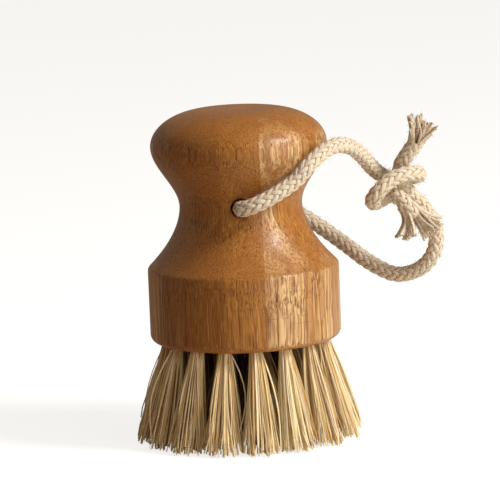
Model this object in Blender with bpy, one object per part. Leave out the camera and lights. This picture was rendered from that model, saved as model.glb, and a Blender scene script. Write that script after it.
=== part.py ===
"""Round palm brush: a turned bamboo block, tufts of plant fibre on wire anchors, and a cotton hanging cord.

Metres, +Z up. The origin is the centre of the circle that the bristle tips stand on.
"""
import math

import bmesh
import bpy
from mathutils import Matrix, Vector
from mathutils.geometry import delaunay_2d_cdt

# Turned block, from the bristles up
BRISTLE_LENGTH = 0.0290
DRUM_DIAMETER = 0.0550
DRUM_EDGE_RADIUS = 0.0023
DRUM_SIDE_HEIGHT = 0.0200
DRUM_CREASE_RADIUS = 0.0018
COVE_HEIGHT = 0.0167
NECK_DIAMETER = 0.0352
KNOB_UNDERSIDE_HEIGHT = 0.0172
KNOB_DIAMETER = 0.0506
KNOB_CROWN_HEIGHT = 0.0103
KNOB_FLAT_DIAMETER = 0.0180
LATHE_STEPS = 56
EDGE_STEPS = 3
CROWN_STEPS = 7
COVE_STEPS = 8
FLARE_STEPS = 8
COVE_POWER = 1.85
MERGE_DISTANCE = 0.00001

# Bore through the neck, along Y, just above the neck's narrowest place
BORE_RISE = 0.0010
BORE_CLEARANCE = 0.0005
BORE_SIDES = 16

# Tuft holes in the underside
HOLE_DIAMETER = 0.0044
HOLE_DEPTH = 0.0115
HOLE_SIDES = 12
RIM_WALL = 0.0030
CUT_OVERRUN = 0.0040

# Tufts: each folds over its anchor and fans out from a round root
SEAT_CLEARANCE = 0.0003
BRISTLE_OVERHANG = 0.0050
STRAND_ROOT_RADIUS = 0.00030
STRAND_TIP_RADIUS = 0.00045
STRAND_SIDES = 3
# Strands of one tuft: how many, and how far out as a share of the tuft's radius
STRAND_RING_SHARES = ((1, 0.0), (5, 0.37), (10, 0.74))
# Rings of tufts: name, count, first angle
TUFT_RINGS = (("outer", 16, -83.5), ("middle", 8, -72.0), ("inner", 3, -50.0))
# For each ring, the radius of its hole centres as a share of the outer ring's, then the radius of its tips'
# centres and the spread of one tuft's tips as shares of the bristles' whole radius
RING_RADIUS_SHARES = ((1.0, 0.868, 0.1785), (0.6, 0.5354, 0.2123), (0.236, 0.197, 0.194))

# Flat wire anchors, driven across the holes, with their middles this far from the holes' bottoms
ANCHOR_THICKNESS = 0.0005
ANCHOR_HEIGHT = 0.0016
ANCHOR_INSET = 0.0037

# Hanging cord
CORD_DIAMETER = 0.0046
CORD_BEVEL_RESOLUTION = 2
FREE_STEP = 0.0044
KNOT_STEP = 0.0018
# Both routes count their heights from the bore's axis.
# Front leg: from the middle of the bore out of the front mouth, past the knob and round behind the rear leg,
# then back over itself and under, to the lower tail
FRONT_ROUTE = (
    (0.0, -0.00015, 0.0), (0.0, -0.0080, 0.0), (0.0, -0.0160, 0.0), (0.0005, -0.0204, 0.0003),
    (0.0040, -0.0224, 0.0016), (0.0098, -0.0217, 0.0042), (0.0158, -0.0199, 0.0079), (0.0189, -0.0194, 0.0112),
    (0.0218, -0.0176, 0.0137), (0.0248, -0.0145, 0.0155), (0.0286, -0.0100, 0.0161), (0.0326, -0.0045, 0.0142),
    (0.0358, 0.0005, 0.0106), (0.0384, 0.0050, 0.0069), (0.0414, 0.0088, 0.0042), (0.0450, 0.0108, 0.0031),
    (0.0490, 0.0104, 0.0032), (0.0515, 0.0062, 0.0043), (0.0504, 0.0012, 0.0055), (0.0468, -0.0015, 0.0056),
    (0.0432, -0.0026, 0.0044), (0.0404, -0.0032, 0.0022), (0.0384, -0.0024, -0.0002), (0.0378, -0.0002, -0.0020),
    (0.0389, 0.0024, -0.0026), (0.0410, 0.0035, -0.0017), (0.0431, 0.0023, -0.0006), (0.0449, 0.0002, -0.0008),
    (0.0466, -0.0018, -0.0021), (0.0483, -0.0029, -0.0041), (0.0500, -0.0033, -0.0062),
)
FRONT_KNOT_START = 13
# Rear leg: from the middle of the bore out of the rear mouth, down and round in a loop, and up through
# the knot to the upper tail
REAR_ROUTE = (
    (0.0, 0.00015, 0.0), (0.0, 0.0080, 0.0), (0.0, 0.0160, 0.0), (0.0006, 0.0206, -0.0004),
    (0.0042, 0.0244, -0.0020), (0.0110, 0.0274, -0.0056), (0.0186, 0.0280, -0.0098), (0.0253, 0.0266, -0.0144),
    (0.0306, 0.0238, -0.0182), (0.0368, 0.0194, -0.0226), (0.0446, 0.0146, -0.0258), (0.0512, 0.0110, -0.0238),
    (0.0550, 0.0090, -0.0195), (0.0562, 0.0080, -0.0143), (0.0550, 0.0074, -0.0092), (0.0524, 0.0069, -0.0048),
    (0.0490, 0.0063, -0.0010), (0.0467, 0.0055, 0.0027), (0.0462, 0.0042, 0.0069), (0.0483, 0.0025, 0.0109),
    (0.0510, 0.0010, 0.0147),
)
REAR_KNOT_START = 15

# Unravelled cord ends: the upper tail ends in one bunch of yarns, the lower tail in two
FRAY_LENGTH = 0.0090
UPPER_FRAY_DIAMETER = 0.0044
UPPER_FRAY_TIP_DIAMETER = 0.0072
LOWER_FRAY_DIAMETER = 0.0022
LOWER_FRAY_TIP_DIAMETER = 0.0048
FRAY_SPACING = 0.0034
FRAY_SIDES = 12
FRAY_STEPS = 4
UPPER_FRAY_WAY = (0.25, -0.10, 0.96)
LOWER_LEFT_FRAY_WAY = (-0.15, -0.35, -1.0)
LOWER_RIGHT_FRAY_WAY = (0.50, 0.15, -0.85)

# Worked out from the sizes above
DRUM_RADIUS = DRUM_DIAMETER / 2
KNOB_RADIUS = KNOB_DIAMETER / 2
NECK_RADIUS = NECK_DIAMETER / 2
KNOB_FLAT_RADIUS = KNOB_FLAT_DIAMETER / 2
UNDERSIDE_LEVEL = BRISTLE_LENGTH
CREASE_LEVEL = UNDERSIDE_LEVEL + DRUM_EDGE_RADIUS + DRUM_SIDE_HEIGHT
NECK_LEVEL = CREASE_LEVEL + COVE_HEIGHT
KNOB_WIDEST_LEVEL = NECK_LEVEL + KNOB_UNDERSIDE_HEIGHT
TOP_LEVEL = KNOB_WIDEST_LEVEL + KNOB_CROWN_HEIGHT
HOLE_RADIUS = HOLE_DIAMETER / 2
HOLE_RING_RADIUS = DRUM_RADIUS - RIM_WALL - HOLE_RADIUS
BRISTLE_SPREAD_RADIUS = DRUM_RADIUS + BRISTLE_OVERHANG
ROOT_RADIUS = HOLE_RADIUS - SEAT_CLEARANCE
ROOT_LENGTH = HOLE_DEPTH - SEAT_CLEARANCE
ANCHOR_LEVEL = UNDERSIDE_LEVEL + HOLE_DEPTH - ANCHOR_INSET
CORD_RADIUS = CORD_DIAMETER / 2
BORE_RADIUS = CORD_RADIUS + BORE_CLEARANCE
BORE_LEVEL = NECK_LEVEL + BORE_RISE


def clear_scene():
    for obj in list(bpy.data.objects):
        bpy.data.objects.remove(obj)


def material(name, colour, roughness, metallic=0.0):
    made = bpy.data.materials.new(name)
    made.use_nodes = True
    shader = made.node_tree.nodes["Principled BSDF"]
    shader.inputs["Base Color"].default_value = (*colour, 1.0)
    shader.inputs["Roughness"].default_value = roughness
    shader.inputs["Metallic"].default_value = metallic
    return made


def add_object(name, data, finish=None):
    obj = bpy.data.objects.new(name, data)
    bpy.context.scene.collection.objects.link(obj)
    if finish is not None and not data.materials:
        data.materials.append(finish)
    return obj


def mesh_from(bm, name, smooth_angle=None):
    bmesh.ops.recalc_face_normals(bm, faces=bm.faces)
    mesh = bpy.data.meshes.new(name)
    bm.to_mesh(mesh)
    bm.free()
    if smooth_angle is not None:
        mesh.shade_smooth()
        mesh.set_sharp_from_angle(angle=math.radians(smooth_angle))
    return mesh


def hide_cutter(obj):
    obj.hide_render = True
    obj.display_type = "WIRE"


def arc(centre, radius, start, end, steps):
    """Points (radius, level) of an arc about a centre, angles in degrees from outwards."""
    angles = [math.radians(start + (end - start) * i / steps) for i in range(steps + 1)]
    return [(centre[0] + radius * math.cos(a), centre[1] + radius * math.sin(a)) for a in angles]


def block_outline():
    """The block's turned outline as (radius, level) points, from the top's centre down the outer side."""
    points = [(0.0, TOP_LEVEL)]
    # The crown is a quarter of an ellipse, from the flat top out to the widest place
    for i in range(CROWN_STEPS + 1):
        a = math.pi / 2 * (1 - i / CROWN_STEPS)
        points.append((KNOB_FLAT_RADIUS + (KNOB_RADIUS - KNOB_FLAT_RADIUS) * math.cos(a),
                       KNOB_WIDEST_LEVEL + KNOB_CROWN_HEIGHT * math.sin(a)))
    # The knob's underside eases in to the neck
    for i in range(1, FLARE_STEPS + 1):
        share = 1 - i / FLARE_STEPS
        ease = share * share * (3 - 2 * share)
        points.append((NECK_RADIUS + (KNOB_RADIUS - NECK_RADIUS) * ease,
                       NECK_LEVEL + (KNOB_WIDEST_LEVEL - NECK_LEVEL) * share))
    # The cove spreads from the neck to the crease
    crease_edge = DRUM_RADIUS - DRUM_CREASE_RADIUS * (1 - math.cos(math.pi / 4))
    crease_top = CREASE_LEVEL - DRUM_CREASE_RADIUS * (1 - math.sin(math.pi / 4))
    for i in range(1, COVE_STEPS):
        share = i / COVE_STEPS
        points.append((NECK_RADIUS + (crease_edge - NECK_RADIUS) * share ** COVE_POWER,
                       NECK_LEVEL + (crease_top - NECK_LEVEL) * share))
    # The drum's upper edge, side and lower edge
    points += arc((DRUM_RADIUS - DRUM_CREASE_RADIUS, CREASE_LEVEL - DRUM_CREASE_RADIUS),
                  DRUM_CREASE_RADIUS, 45, 0, EDGE_STEPS)
    points += arc((DRUM_RADIUS - DRUM_EDGE_RADIUS, UNDERSIDE_LEVEL + DRUM_EDGE_RADIUS),
                  DRUM_EDGE_RADIUS, 0, -90, EDGE_STEPS)
    points.append((0.0, UNDERSIDE_LEVEL))
    return points


def tuft_places():
    """Every tuft as (ring index, number in its ring, angle about Z)."""
    return [(r, i, math.radians(first) + math.tau * i / count)
            for r, (_, count, first) in enumerate(TUFT_RINGS) for i in range(count)]


def hole_ring(r):
    """The radius of a ring's hole centres."""
    return HOLE_RING_RADIUS * RING_RADIUS_SHARES[r][0]


def add_cylinder(bm, place, radius, length, sides):
    """A closed cylinder along the place's own Z, centred on it."""
    bmesh.ops.create_cone(bm, cap_ends=True, segments=sides, radius1=radius, radius2=radius,
                          depth=length, matrix=place)


def make_block(finish):
    mesh = bpy.data.meshes.new("handle_block")
    outline = [(radius, 0.0, level) for radius, level in block_outline()]
    mesh.from_pydata(outline, [(i, i + 1) for i in range(len(outline) - 1)], [])
    block = add_object("handle_block", mesh, finish)
    lathe = block.modifiers.new("lathe", "SCREW")
    lathe.axis = "Z"
    lathe.angle = math.tau
    lathe.steps = LATHE_STEPS
    lathe.render_steps = LATHE_STEPS
    lathe.use_merge_vertices = True
    lathe.merge_threshold = MERGE_DISTANCE

    cuts = bmesh.new()
    for r, _, angle in tuft_places():
        centre = (hole_ring(r), 0.0, UNDERSIDE_LEVEL + (HOLE_DEPTH - CUT_OVERRUN) / 2)
        place = Matrix.Rotation(angle, 4, "Z") @ Matrix.Translation(centre)
        add_cylinder(cuts, place, HOLE_RADIUS, HOLE_DEPTH + CUT_OVERRUN, HOLE_SIDES)
    bore = Matrix.Translation((0.0, 0.0, BORE_LEVEL)) @ Matrix.Rotation(math.pi / 2, 4, "X")
    add_cylinder(cuts, bore, BORE_RADIUS, NECK_DIAMETER + CUT_OVERRUN * 2, BORE_SIDES)
    cutter = add_object("block_cuts", mesh_from(cuts, "block_cuts"))
    hide_cutter(cutter)
    drill = block.modifiers.new("drill", "BOOLEAN")
    drill.operation = "DIFFERENCE"
    drill.solver = "EXACT"
    drill.object = cutter
    return block


def strand_places():
    """Each strand of a tuft as (x, y) shares of the tuft's radius."""
    places = []
    for count, reach in STRAND_RING_SHARES:
        for i in range(count):
            a = math.tau * (i + 0.5) / count
            places.append((reach * math.cos(a), reach * math.sin(a)))
    return places


def polygon(centre, radius, sides, turn):
    return [(centre[0] + radius * math.cos(turn + math.tau * i / sides),
             centre[1] + radius * math.sin(turn + math.tau * i / sides)) for i in range(sides)]


def tuft_mesh(r):
    """One tuft at angle 0 of its ring: a round root with its strands fused to the root's lower face."""
    root_at = hole_ring(r)
    tip_at, spread = [BRISTLE_SPREAD_RADIUS * share for share in RING_RADIUS_SHARES[r][1:]]
    rim = polygon((0.0, 0.0), ROOT_RADIUS, HOLE_SIDES, 0.0)
    flat = [Vector(p) for p in rim]
    root_face = list(range(HOLE_SIDES))
    strand_faces = []
    for x, y in strand_places():
        start = len(flat)
        centre = (x * ROOT_RADIUS, y * ROOT_RADIUS)
        flat += [Vector(p) for p in polygon(centre, STRAND_ROOT_RADIUS, STRAND_SIDES, math.atan2(y, x))]
        strand_faces.append(list(range(start, start + STRAND_SIDES)))
    # The root's lower face, parted so that every strand's outline is a face of its own
    spots, _, pieces, _, _, origins = delaunay_2d_cdt(flat, [], [root_face, *strand_faces], 1, MERGE_DISTANCE)

    bm = bmesh.new()
    low = [bm.verts.new((root_at + p.x, p.y, UNDERSIDE_LEVEL)) for p in spots]
    for piece, origin in zip(pieces, origins):
        if max(origin) == 0:
            bm.faces.new([low[i] for i in reversed(piece)])
    for (x, y), face in zip(strand_places(), strand_faces):
        tip = (tip_at + x * spread, y * spread)
        ends = [bm.verts.new((px, py, 0.0))
                for px, py in polygon(tip, STRAND_TIP_RADIUS, STRAND_SIDES, math.atan2(y, x))]
        bm.faces.new(list(reversed(ends)))
        for i in range(STRAND_SIDES):
            j = (i + 1) % STRAND_SIDES
            bm.faces.new((low[face[i]], low[face[j]], ends[j], ends[i]))
    top = [bm.verts.new((root_at + x, y, UNDERSIDE_LEVEL + ROOT_LENGTH)) for x, y in rim]
    bm.faces.new(top)
    for i in range(HOLE_SIDES):
        j = (i + 1) % HOLE_SIDES
        bm.faces.new((low[i], low[j], top[j], top[i]))
    return cut_anchor_way(mesh_from(bm, "tuft_" + TUFT_RINGS[r][0]), root_at)


def cut_anchor_way(mesh, root_at):
    """The way through a tuft's root that its anchor lies in."""
    tuft = add_object("tuft_blank", mesh)
    way = bmesh.new()
    size = (ANCHOR_THICKNESS + SEAT_CLEARANCE * 2, HOLE_DIAMETER + CUT_OVERRUN,
            ANCHOR_HEIGHT + SEAT_CLEARANCE * 2)
    add_box(way, Matrix.Translation((root_at, 0.0, ANCHOR_LEVEL)), size)
    cutter = add_object("anchor_way", mesh_from(way, "anchor_way"))
    cut = tuft.modifiers.new("anchor_way", "BOOLEAN")
    cut.operation = "DIFFERENCE"
    cut.solver = "EXACT"
    cut.object = cutter
    bpy.context.view_layer.update()
    finished = bpy.data.meshes.new_from_object(tuft.evaluated_get(bpy.context.evaluated_depsgraph_get()))
    finished.name = mesh.name
    bpy.data.objects.remove(tuft)
    bpy.data.objects.remove(cutter)
    return finished


def add_box(bm, place, size):
    bmesh.ops.create_cube(bm, size=1.0, matrix=place @ Matrix.Diagonal((*size, 1.0)))


def anchor_mesh(r):
    """A wire anchor at angle 0 of its ring: it lies across the hole, through the fold of the tuft."""
    length = (HOLE_RADIUS * math.cos(math.pi / HOLE_SIDES) - SEAT_CLEARANCE) * 2
    bm = bmesh.new()
    place = Matrix.Translation((hole_ring(r), 0.0, ANCHOR_LEVEL))
    add_box(bm, place, (ANCHOR_THICKNESS, length, ANCHOR_HEIGHT))
    return mesh_from(bm, "wire_anchor_" + TUFT_RINGS[r][0])


def make_tufts(fibre, wire):
    """Every tuft and its anchor. Those of one ring share a mesh, turned about the block's axis."""
    tufts = [tuft_mesh(r) for r in range(len(TUFT_RINGS))]
    anchors = [anchor_mesh(r) for r in range(len(TUFT_RINGS))]
    for r, i, angle in tuft_places():
        label = f"{TUFT_RINGS[r][0]}_{i + 1:02d}"
        add_object("tuft_" + label, tufts[r], fibre).rotation_euler.z = angle
        add_object("wire_anchor_" + label, anchors[r], wire).rotation_euler.z = angle


def between(p, q, r, s, share):
    """A point between q and r on the smooth curve through p, q, r and s, with chord-length root knots."""
    knots = [0.0]
    for a, b in ((p, q), (q, r), (r, s)):
        knots.append(knots[-1] + math.sqrt((b - a).length))
    t = knots[1] + (knots[2] - knots[1]) * share

    def mix(a, b, start, end):
        return a.lerp(b, (t - start) / (end - start))

    near, mid, far = mix(p, q, *knots[0:2]), mix(q, r, *knots[1:3]), mix(r, s, *knots[2:4])
    early = mix(near, mid, knots[0], knots[2])
    late = mix(mid, far, knots[1], knots[3])
    return mix(early, late, knots[1], knots[2])


def cord_points(route, knot_start):
    """Points read from the smooth curve through a route, closer together in the knot."""
    way = [Vector(p) + Vector((0.0, 0.0, BORE_LEVEL)) for p in route]
    way = [way[0] * 2 - way[1], *way, way[-1] * 2 - way[-2]]
    points = []
    for i in range(1, len(way) - 2):
        step = KNOT_STEP if i > knot_start else FREE_STEP
        count = max(1, round((way[i + 1] - way[i]).length / step))
        points += [between(*way[i - 1:i + 3], k / count) for k in range(count)]
    return [*points, way[-2]]


def lengths_along(points):
    along = [0.0]
    for a, b in zip(points, points[1:]):
        along.append(along[-1] + (b - a).length)
    return along


def print_cord_gaps(front, rear):
    """The smallest gaps outside the bore: the front leg's to itself, and the two legs'."""
    along = lengths_along(front)
    own = min((a - b).length for i, a in enumerate(front) for j, b in enumerate(front)
              if along[j] - along[i] > CORD_DIAMETER * 2) - CORD_DIAMETER
    outside = [[p for p in points if p.xy.length > NECK_RADIUS] for points in (front, rear)]
    legs = min((a - b).length for a in outside[0] for b in outside[1]) - CORD_DIAMETER
    print(f"knot: front leg {own:.5f} m from itself")
    print(f"knot: legs {legs:.5f} m apart")


def make_cord(name, points, finish):
    curve = bpy.data.curves.new(name, "CURVE")
    curve.dimensions = "3D"
    curve.bevel_depth = CORD_RADIUS
    curve.bevel_resolution = CORD_BEVEL_RESOLUTION
    curve.use_fill_caps = True
    line = curve.splines.new("POLY")
    line.points.add(len(points) - 1)
    for spot, p in zip(line.points, points):
        spot.co = (*p, 1.0)
    print(f"{name}: {len(points)} points, {lengths_along(points)[-1]:.4f} m long")
    return add_object(name, curve, finish)


def make_fray(name, start, tail, way, diameter, tip_diameter, finish):
    """An unravelled end: a bundle that leaves its tail squarely, bends its own way and widens to its tips."""
    way = Vector(way).normalized()
    turn = tail.to_track_quat("Z", "Y").to_matrix()
    first = start + tail * SEAT_CLEARANCE
    bend = first + tail * (FRAY_LENGTH / 2)
    tip = bend + way * (FRAY_LENGTH / 2)
    bm = bmesh.new()
    rings = []
    for i in range(FRAY_STEPS + 1):
        share = i / FRAY_STEPS
        centre = first.lerp(bend, share).lerp(bend.lerp(tip, share), share)
        radius = (diameter + (tip_diameter - diameter) * share) / 2
        rings.append([bm.verts.new(centre + turn @ Vector((x, y, 0.0)))
                      for x, y in polygon((0.0, 0.0), radius, FRAY_SIDES, 0.0)])
    for lower, upper in zip(rings, rings[1:]):
        for i in range(FRAY_SIDES):
            j = (i + 1) % FRAY_SIDES
            bm.faces.new((lower[i], lower[j], upper[j], upper[i]))
    bm.faces.new(list(reversed(rings[0])))
    crown = bm.verts.new(tip + way * (diameter / 2))
    for i in range(FRAY_SIDES):
        bm.faces.new((rings[-1][i], rings[-1][(i + 1) % FRAY_SIDES], crown))
    return add_object(name, mesh_from(bm, name, 50), finish)


def make_frayed_ends(front, rear, finish):
    """The unravelled ends of the lower tail, which the front leg ends in, and of the upper tail."""
    upper_tail = (rear[-1] - rear[-2]).normalized()
    lower_tail = (front[-1] - front[-2]).normalized()
    make_fray("cord_upper_frayed_end", rear[-1], upper_tail, UPPER_FRAY_WAY,
              UPPER_FRAY_DIAMETER, UPPER_FRAY_TIP_DIAMETER, finish)
    # The lower tail parts into two bunches, side by side as seen from the front
    aside = Vector((0.0, 1.0, 0.0)).cross(lower_tail).normalized() * (FRAY_SPACING / 2)
    for side, offset, way in (("left", aside, LOWER_LEFT_FRAY_WAY), ("right", -aside, LOWER_RIGHT_FRAY_WAY)):
        make_fray("cord_lower_frayed_end_" + side, front[-1] + offset, lower_tail, way,
                  LOWER_FRAY_DIAMETER, LOWER_FRAY_TIP_DIAMETER, finish)


def main():
    clear_scene()
    bamboo = material("bamboo", (0.62, 0.36, 0.14), 0.42)
    fibre = material("plant_fibre", (0.72, 0.58, 0.36), 0.75)
    wire = material("steel_wire", (0.55, 0.55, 0.56), 0.35, 1.0)
    cotton = material("cotton_cord", (0.78, 0.70, 0.56), 0.90)
    make_block(bamboo)
    make_tufts(fibre, wire)
    front = cord_points(FRONT_ROUTE, FRONT_KNOT_START)
    rear = cord_points(REAR_ROUTE, REAR_KNOT_START)
    make_cord("cord_front_leg", front, cotton)
    make_cord("cord_rear_leg", rear, cotton)
    print_cord_gaps(front, rear)
    make_frayed_ends(front, rear, cotton)


main()
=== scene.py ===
# %% [markdown]
# # A round palm brush
# A block turned from laminated bamboo, tufts of stiff plant fibre that are folded over wire anchors
# in drilled holes, and a braided cotton cord through the neck, knotted to itself.
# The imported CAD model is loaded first. It fixes every size and place, so each finer piece below is built
# in its space and rides on its body.

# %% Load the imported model
import math

import bmesh
import bpy
import numpy as np
from mathutils import Matrix, Vector


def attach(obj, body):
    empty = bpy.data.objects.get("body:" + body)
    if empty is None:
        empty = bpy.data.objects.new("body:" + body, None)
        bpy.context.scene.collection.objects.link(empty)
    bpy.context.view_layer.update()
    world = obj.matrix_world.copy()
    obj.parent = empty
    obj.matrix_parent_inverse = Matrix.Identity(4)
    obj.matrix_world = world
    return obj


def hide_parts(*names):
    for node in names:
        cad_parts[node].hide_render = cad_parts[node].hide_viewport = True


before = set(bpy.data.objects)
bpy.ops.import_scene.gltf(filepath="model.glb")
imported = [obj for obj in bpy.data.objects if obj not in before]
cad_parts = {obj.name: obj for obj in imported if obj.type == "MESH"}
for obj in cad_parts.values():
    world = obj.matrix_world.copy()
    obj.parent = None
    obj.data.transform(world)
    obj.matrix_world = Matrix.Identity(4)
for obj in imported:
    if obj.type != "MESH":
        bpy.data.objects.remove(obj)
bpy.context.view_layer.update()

# %% [markdown]
# ## Camera
# A long lens a good metre away keeps the drum's sides nearly parallel. The view is 9 degrees above the
# horizon and the brush leans 2.3 degrees to the left, so the camera rolls by that much.
# One point on the axis is tied to its pixel in the 500-pixel frame, and everything else follows from it.

# %% Place the camera
FRAME_PIXELS = 500
PIXELS_PER_METRE = 3473
AXIS_POINT = Vector((0, 0, 0.039))
AXIS_PIXEL = (244.8, 303.0)
CAMERA_ELEVATION = math.radians(9)
CAMERA_ROLL = math.radians(2.3)
CAMERA_DISTANCE = 1.1
SENSOR_WIDTH = 36


def linked(name, data):
    """A new object in the scene that holds this data."""
    made = bpy.data.objects.new(name, data)
    bpy.context.collection.objects.link(made)
    return made


level_up = Vector((0, math.sin(CAMERA_ELEVATION), math.cos(CAMERA_ELEVATION)))
level_right = Vector((1, 0, 0))
ahead = Vector((0, math.cos(CAMERA_ELEVATION), -math.sin(CAMERA_ELEVATION)))
right = level_right * math.cos(CAMERA_ROLL) - level_up * math.sin(CAMERA_ROLL)
up = level_right * math.sin(CAMERA_ROLL) + level_up * math.cos(CAMERA_ROLL)
aim = (AXIS_POINT + right * ((FRAME_PIXELS / 2 - AXIS_PIXEL[0]) / PIXELS_PER_METRE)
       + up * ((AXIS_PIXEL[1] - FRAME_PIXELS / 2) / PIXELS_PER_METRE))

camera_data = bpy.data.cameras.new("camera")
camera_data.sensor_width = SENSOR_WIDTH
camera_data.lens = SENSOR_WIDTH * CAMERA_DISTANCE * PIXELS_PER_METRE / FRAME_PIXELS
camera_data.clip_start = 0.01
camera = linked("camera", camera_data)
camera.matrix_world = (Matrix.Translation(aim - ahead * CAMERA_DISTANCE)
                       @ Matrix((right, up, -ahead)).transposed().to_4x4())
bpy.context.scene.camera = camera
bpy.context.scene.view_settings.view_transform = "Standard"
print("lens", round(camera_data.lens, 1), "mm")

# %% [markdown]
# ## Shader maths as Python
# A finish such as bamboo is mostly arithmetic on coordinates and noise. This small class wraps a node's
# output and overloads Python's operators, so that `1 - mask` or `x * 3` adds the Math node for it.
# Every other node comes from its one `node` method, and so does a tree's first one, from a wire that is
# still loose.

# %% A wire between shader nodes
class Wire:
    """A node's output that Python's operators work on."""

    def __init__(self, tree, socket=None):
        self.tree = tree
        self.socket = socket

    def node(self, kind, settings=(), inputs=(), output=0):
        """A new node: its settings first, then the values or links of its sockets."""
        made = self.tree.nodes.new("ShaderNode" + kind)
        for name, value in dict(settings).items():
            if name == "stops":
                ramp = made.color_ramp.elements
                while len(ramp) < len(value):
                    ramp.new(1.0)
                for stop, (place, colour) in zip(ramp, value):
                    stop.position = place
                    stop.color = (*colour, 1.0)
            else:
                setattr(made, name, value)
        for name, value in dict(inputs).items():
            if isinstance(value, Wire):
                self.tree.links.new(value.socket, made.inputs[name])
            elif isinstance(value, tuple) and len(made.inputs[name].default_value) == 4:
                made.inputs[name].default_value = (*value, 1.0)
            else:
                made.inputs[name].default_value = value
        return Wire(self.tree, made.outputs[output])

    def math(self, operation, *others):
        return self.node("Math", {"operation": operation}, dict(enumerate((self, *others))))

    def __add__(self, other):
        return self.math("ADD", other)

    def __sub__(self, other):
        return self.math("SUBTRACT", other)

    def __rsub__(self, other):
        return self.node("Math", {"operation": "SUBTRACT"}, {0: other, 1: self})

    def __mul__(self, other):
        return self.math("MULTIPLY", other)

    def __truediv__(self, other):
        return self.math("DIVIDE", other)

    def __pow__(self, other):
        return self.math("POWER", other)

    def __abs__(self):
        return self.math("ABSOLUTE")

    __radd__ = __add__
    __rmul__ = __mul__

    def floor(self):
        return self.math("FLOOR")

    def fract(self):
        return self.math("FRACT")

    def fade(self, start, end):
        """0 before start and 1 after end, with a smooth turn between. start may be the larger."""
        return self.node("MapRange", {"interpolation_type": "SMOOTHSTEP"},
                         {"Value": self, "From Min": start, "From Max": end})

    def vector(self, operation, other):
        return self.node("VectorMath", {"operation": operation}, {0: self, 1: other})

    def length(self):
        return self.node("VectorMath", {"operation": "LENGTH"}, {0: self}, "Value")

    def beside(self, output):
        """Another output of the node that this one comes from."""
        return Wire(self.tree, self.socket.node.outputs[output])

    def parts(self):
        """The three numbers of a vector."""
        split = self.node("SeparateXYZ", (), {0: self})
        return split, split.beside("Y"), split.beside("Z")

    def stored(self, name):
        """The number that a mesh stores on each of its points under this name."""
        return self.node("Attribute", {"attribute_name": name}, (), "Fac")

    def wave(self):
        """A smooth wave between 0 and 1 that repeats at every whole number."""
        return (self * math.tau).math("SINE") * 0.5 + 0.5

    def noise(self, scale, detail, roughness=0.5, output=0):
        return self.node("TexNoise", (), {"Vector": self, "Scale": scale, "Detail": detail,
                                          "Roughness": roughness}, output)

    def grained(self, across, along, detail, roughness=0.5, output=0):
        """Noise with this many features in a millimetre across the stem, and along it."""
        return self.vector("MULTIPLY", (across, across, along)).noise(1.0, detail, roughness, output)

    def blend(self, low, high):
        """A colour between low and high, by this mask."""
        return self.node("Mix", {"data_type": "RGBA"}, {0: self, 6: low, 7: high}, 2)


print("shader maths ready")

# %% [markdown]
# A finish starts from an object's own coordinates, in millimetres, because fibres and grain are easier to
# picture in millimetres than in metres. Its colour is built up as a maker would: a ground, and layers over
# it that each show where their mask is high. `close` then sets the shader's plain values and links the
# ones that change over the surface.

# %% Start and close a finish
MM_PER_METRE = 1000


def begin(name):
    """A new material and its coordinates in millimetres."""
    made = bpy.data.materials.new(name)
    made.use_nodes = True
    spot = Wire(made.node_tree).node("TexCoord", (), (), "Object")
    return made, spot.vector("MULTIPLY", (MM_PER_METRE,) * 3)


def layered(shade, *layers):
    """The ground shade with layers over it. Each is a mask and the colour that it lays down."""
    for mask, colour in layers:
        shade = mask.blend(shade, colour)
    return shade


def close(made, **values):
    """Sets the Principled shader's sockets. A name's underscores stand for spaces."""
    shader = made.node_tree.nodes["Principled BSDF"]
    for name, value in values.items():
        socket = shader.inputs[name.replace("_", " ")]
        if isinstance(value, Wire):
            made.node_tree.links.new(value.socket, socket)
        else:
            socket.default_value = value
    return made


def bumped(height, distance):
    """The normal of a surface that rises by this many metres where height goes from 0 to 1."""
    return height.node("Bump", (), {"Height": height, "Strength": 1.0, "Distance": distance})


print("finishes can be made")

# %% [markdown]
# ## Tubes by the thousand
# Yarns, frayed ends and bristles are all thin tubes that follow a way. Thousands of curve objects would be
# slow, so one function lays all the tubes of a piece into one mesh with numpy. It also stores, on each
# point, how far along its tube it is, how far round, and a tone of its own for each tube, which the
# finishes read as attributes.

# %% Build tubes
SHARP_TUBE_EDGE = math.radians(75)


def unit(vectors):
    return vectors / np.maximum(np.linalg.norm(vectors, axis=-1, keepdims=True), 1e-12)


def carried_frames(ways, start):
    """For each point of each way: the direction ahead, one square to it that sets out near start and
    doesn't twist as it goes along, and one square to both."""
    ahead = unit(np.gradient(ways, axis=1))
    across = np.empty_like(ways)
    last = start
    for i in range(ways.shape[1]):
        onward = ahead[:, i]
        last = unit(last - onward * np.sum(last * onward, axis=-1, keepdims=True))
        across[:, i] = last
    return ahead, across, np.cross(ahead, across)


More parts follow.
